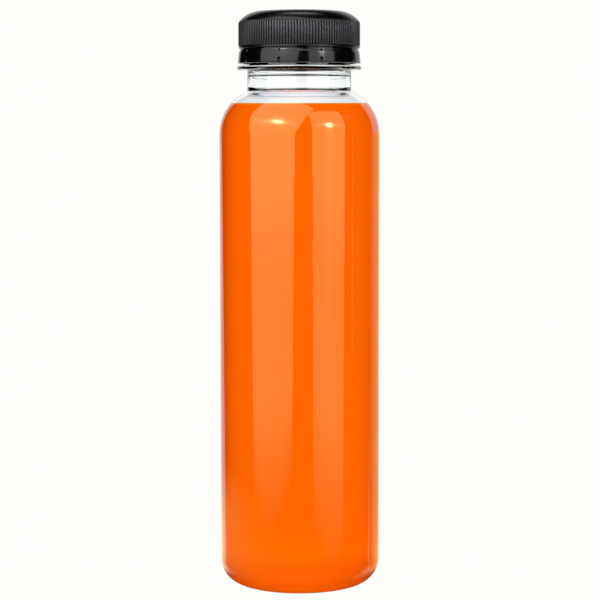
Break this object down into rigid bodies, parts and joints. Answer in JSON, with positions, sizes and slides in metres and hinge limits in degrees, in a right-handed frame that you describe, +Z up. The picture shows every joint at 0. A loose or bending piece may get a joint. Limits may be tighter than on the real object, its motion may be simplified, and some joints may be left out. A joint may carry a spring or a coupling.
{
  "type": "plastic juice bottle",
  "caption": "Slim round clear plastic juice bottle with a domed shoulder, filled with orange drink and shut with a black ribbed screw cap.",
  "frame": {"origin": "on the bottle's axis, in the plane of the ring it stands on", "axes": "+Z up along the bottle's axis, from the base to the cap; -Y towards the side shown in the picture"},
  "size_m": [0.055, 0.055, 0.1979],
  "materials": {
    "clear_pet": "clear glossy moulded plastic",
    "orange_drink": "slightly cloudy orange liquid",
    "cap_black": "black moulded plastic, satin gloss",
    "band_black": "black moulded plastic, gloss"
  },
  "bodies": {
    "root": {"bottle": "clear_pet", "juice": "orange_drink", "cap": "cap_black", "tamper_band": "band_black"}
  },
  "joints": []
}
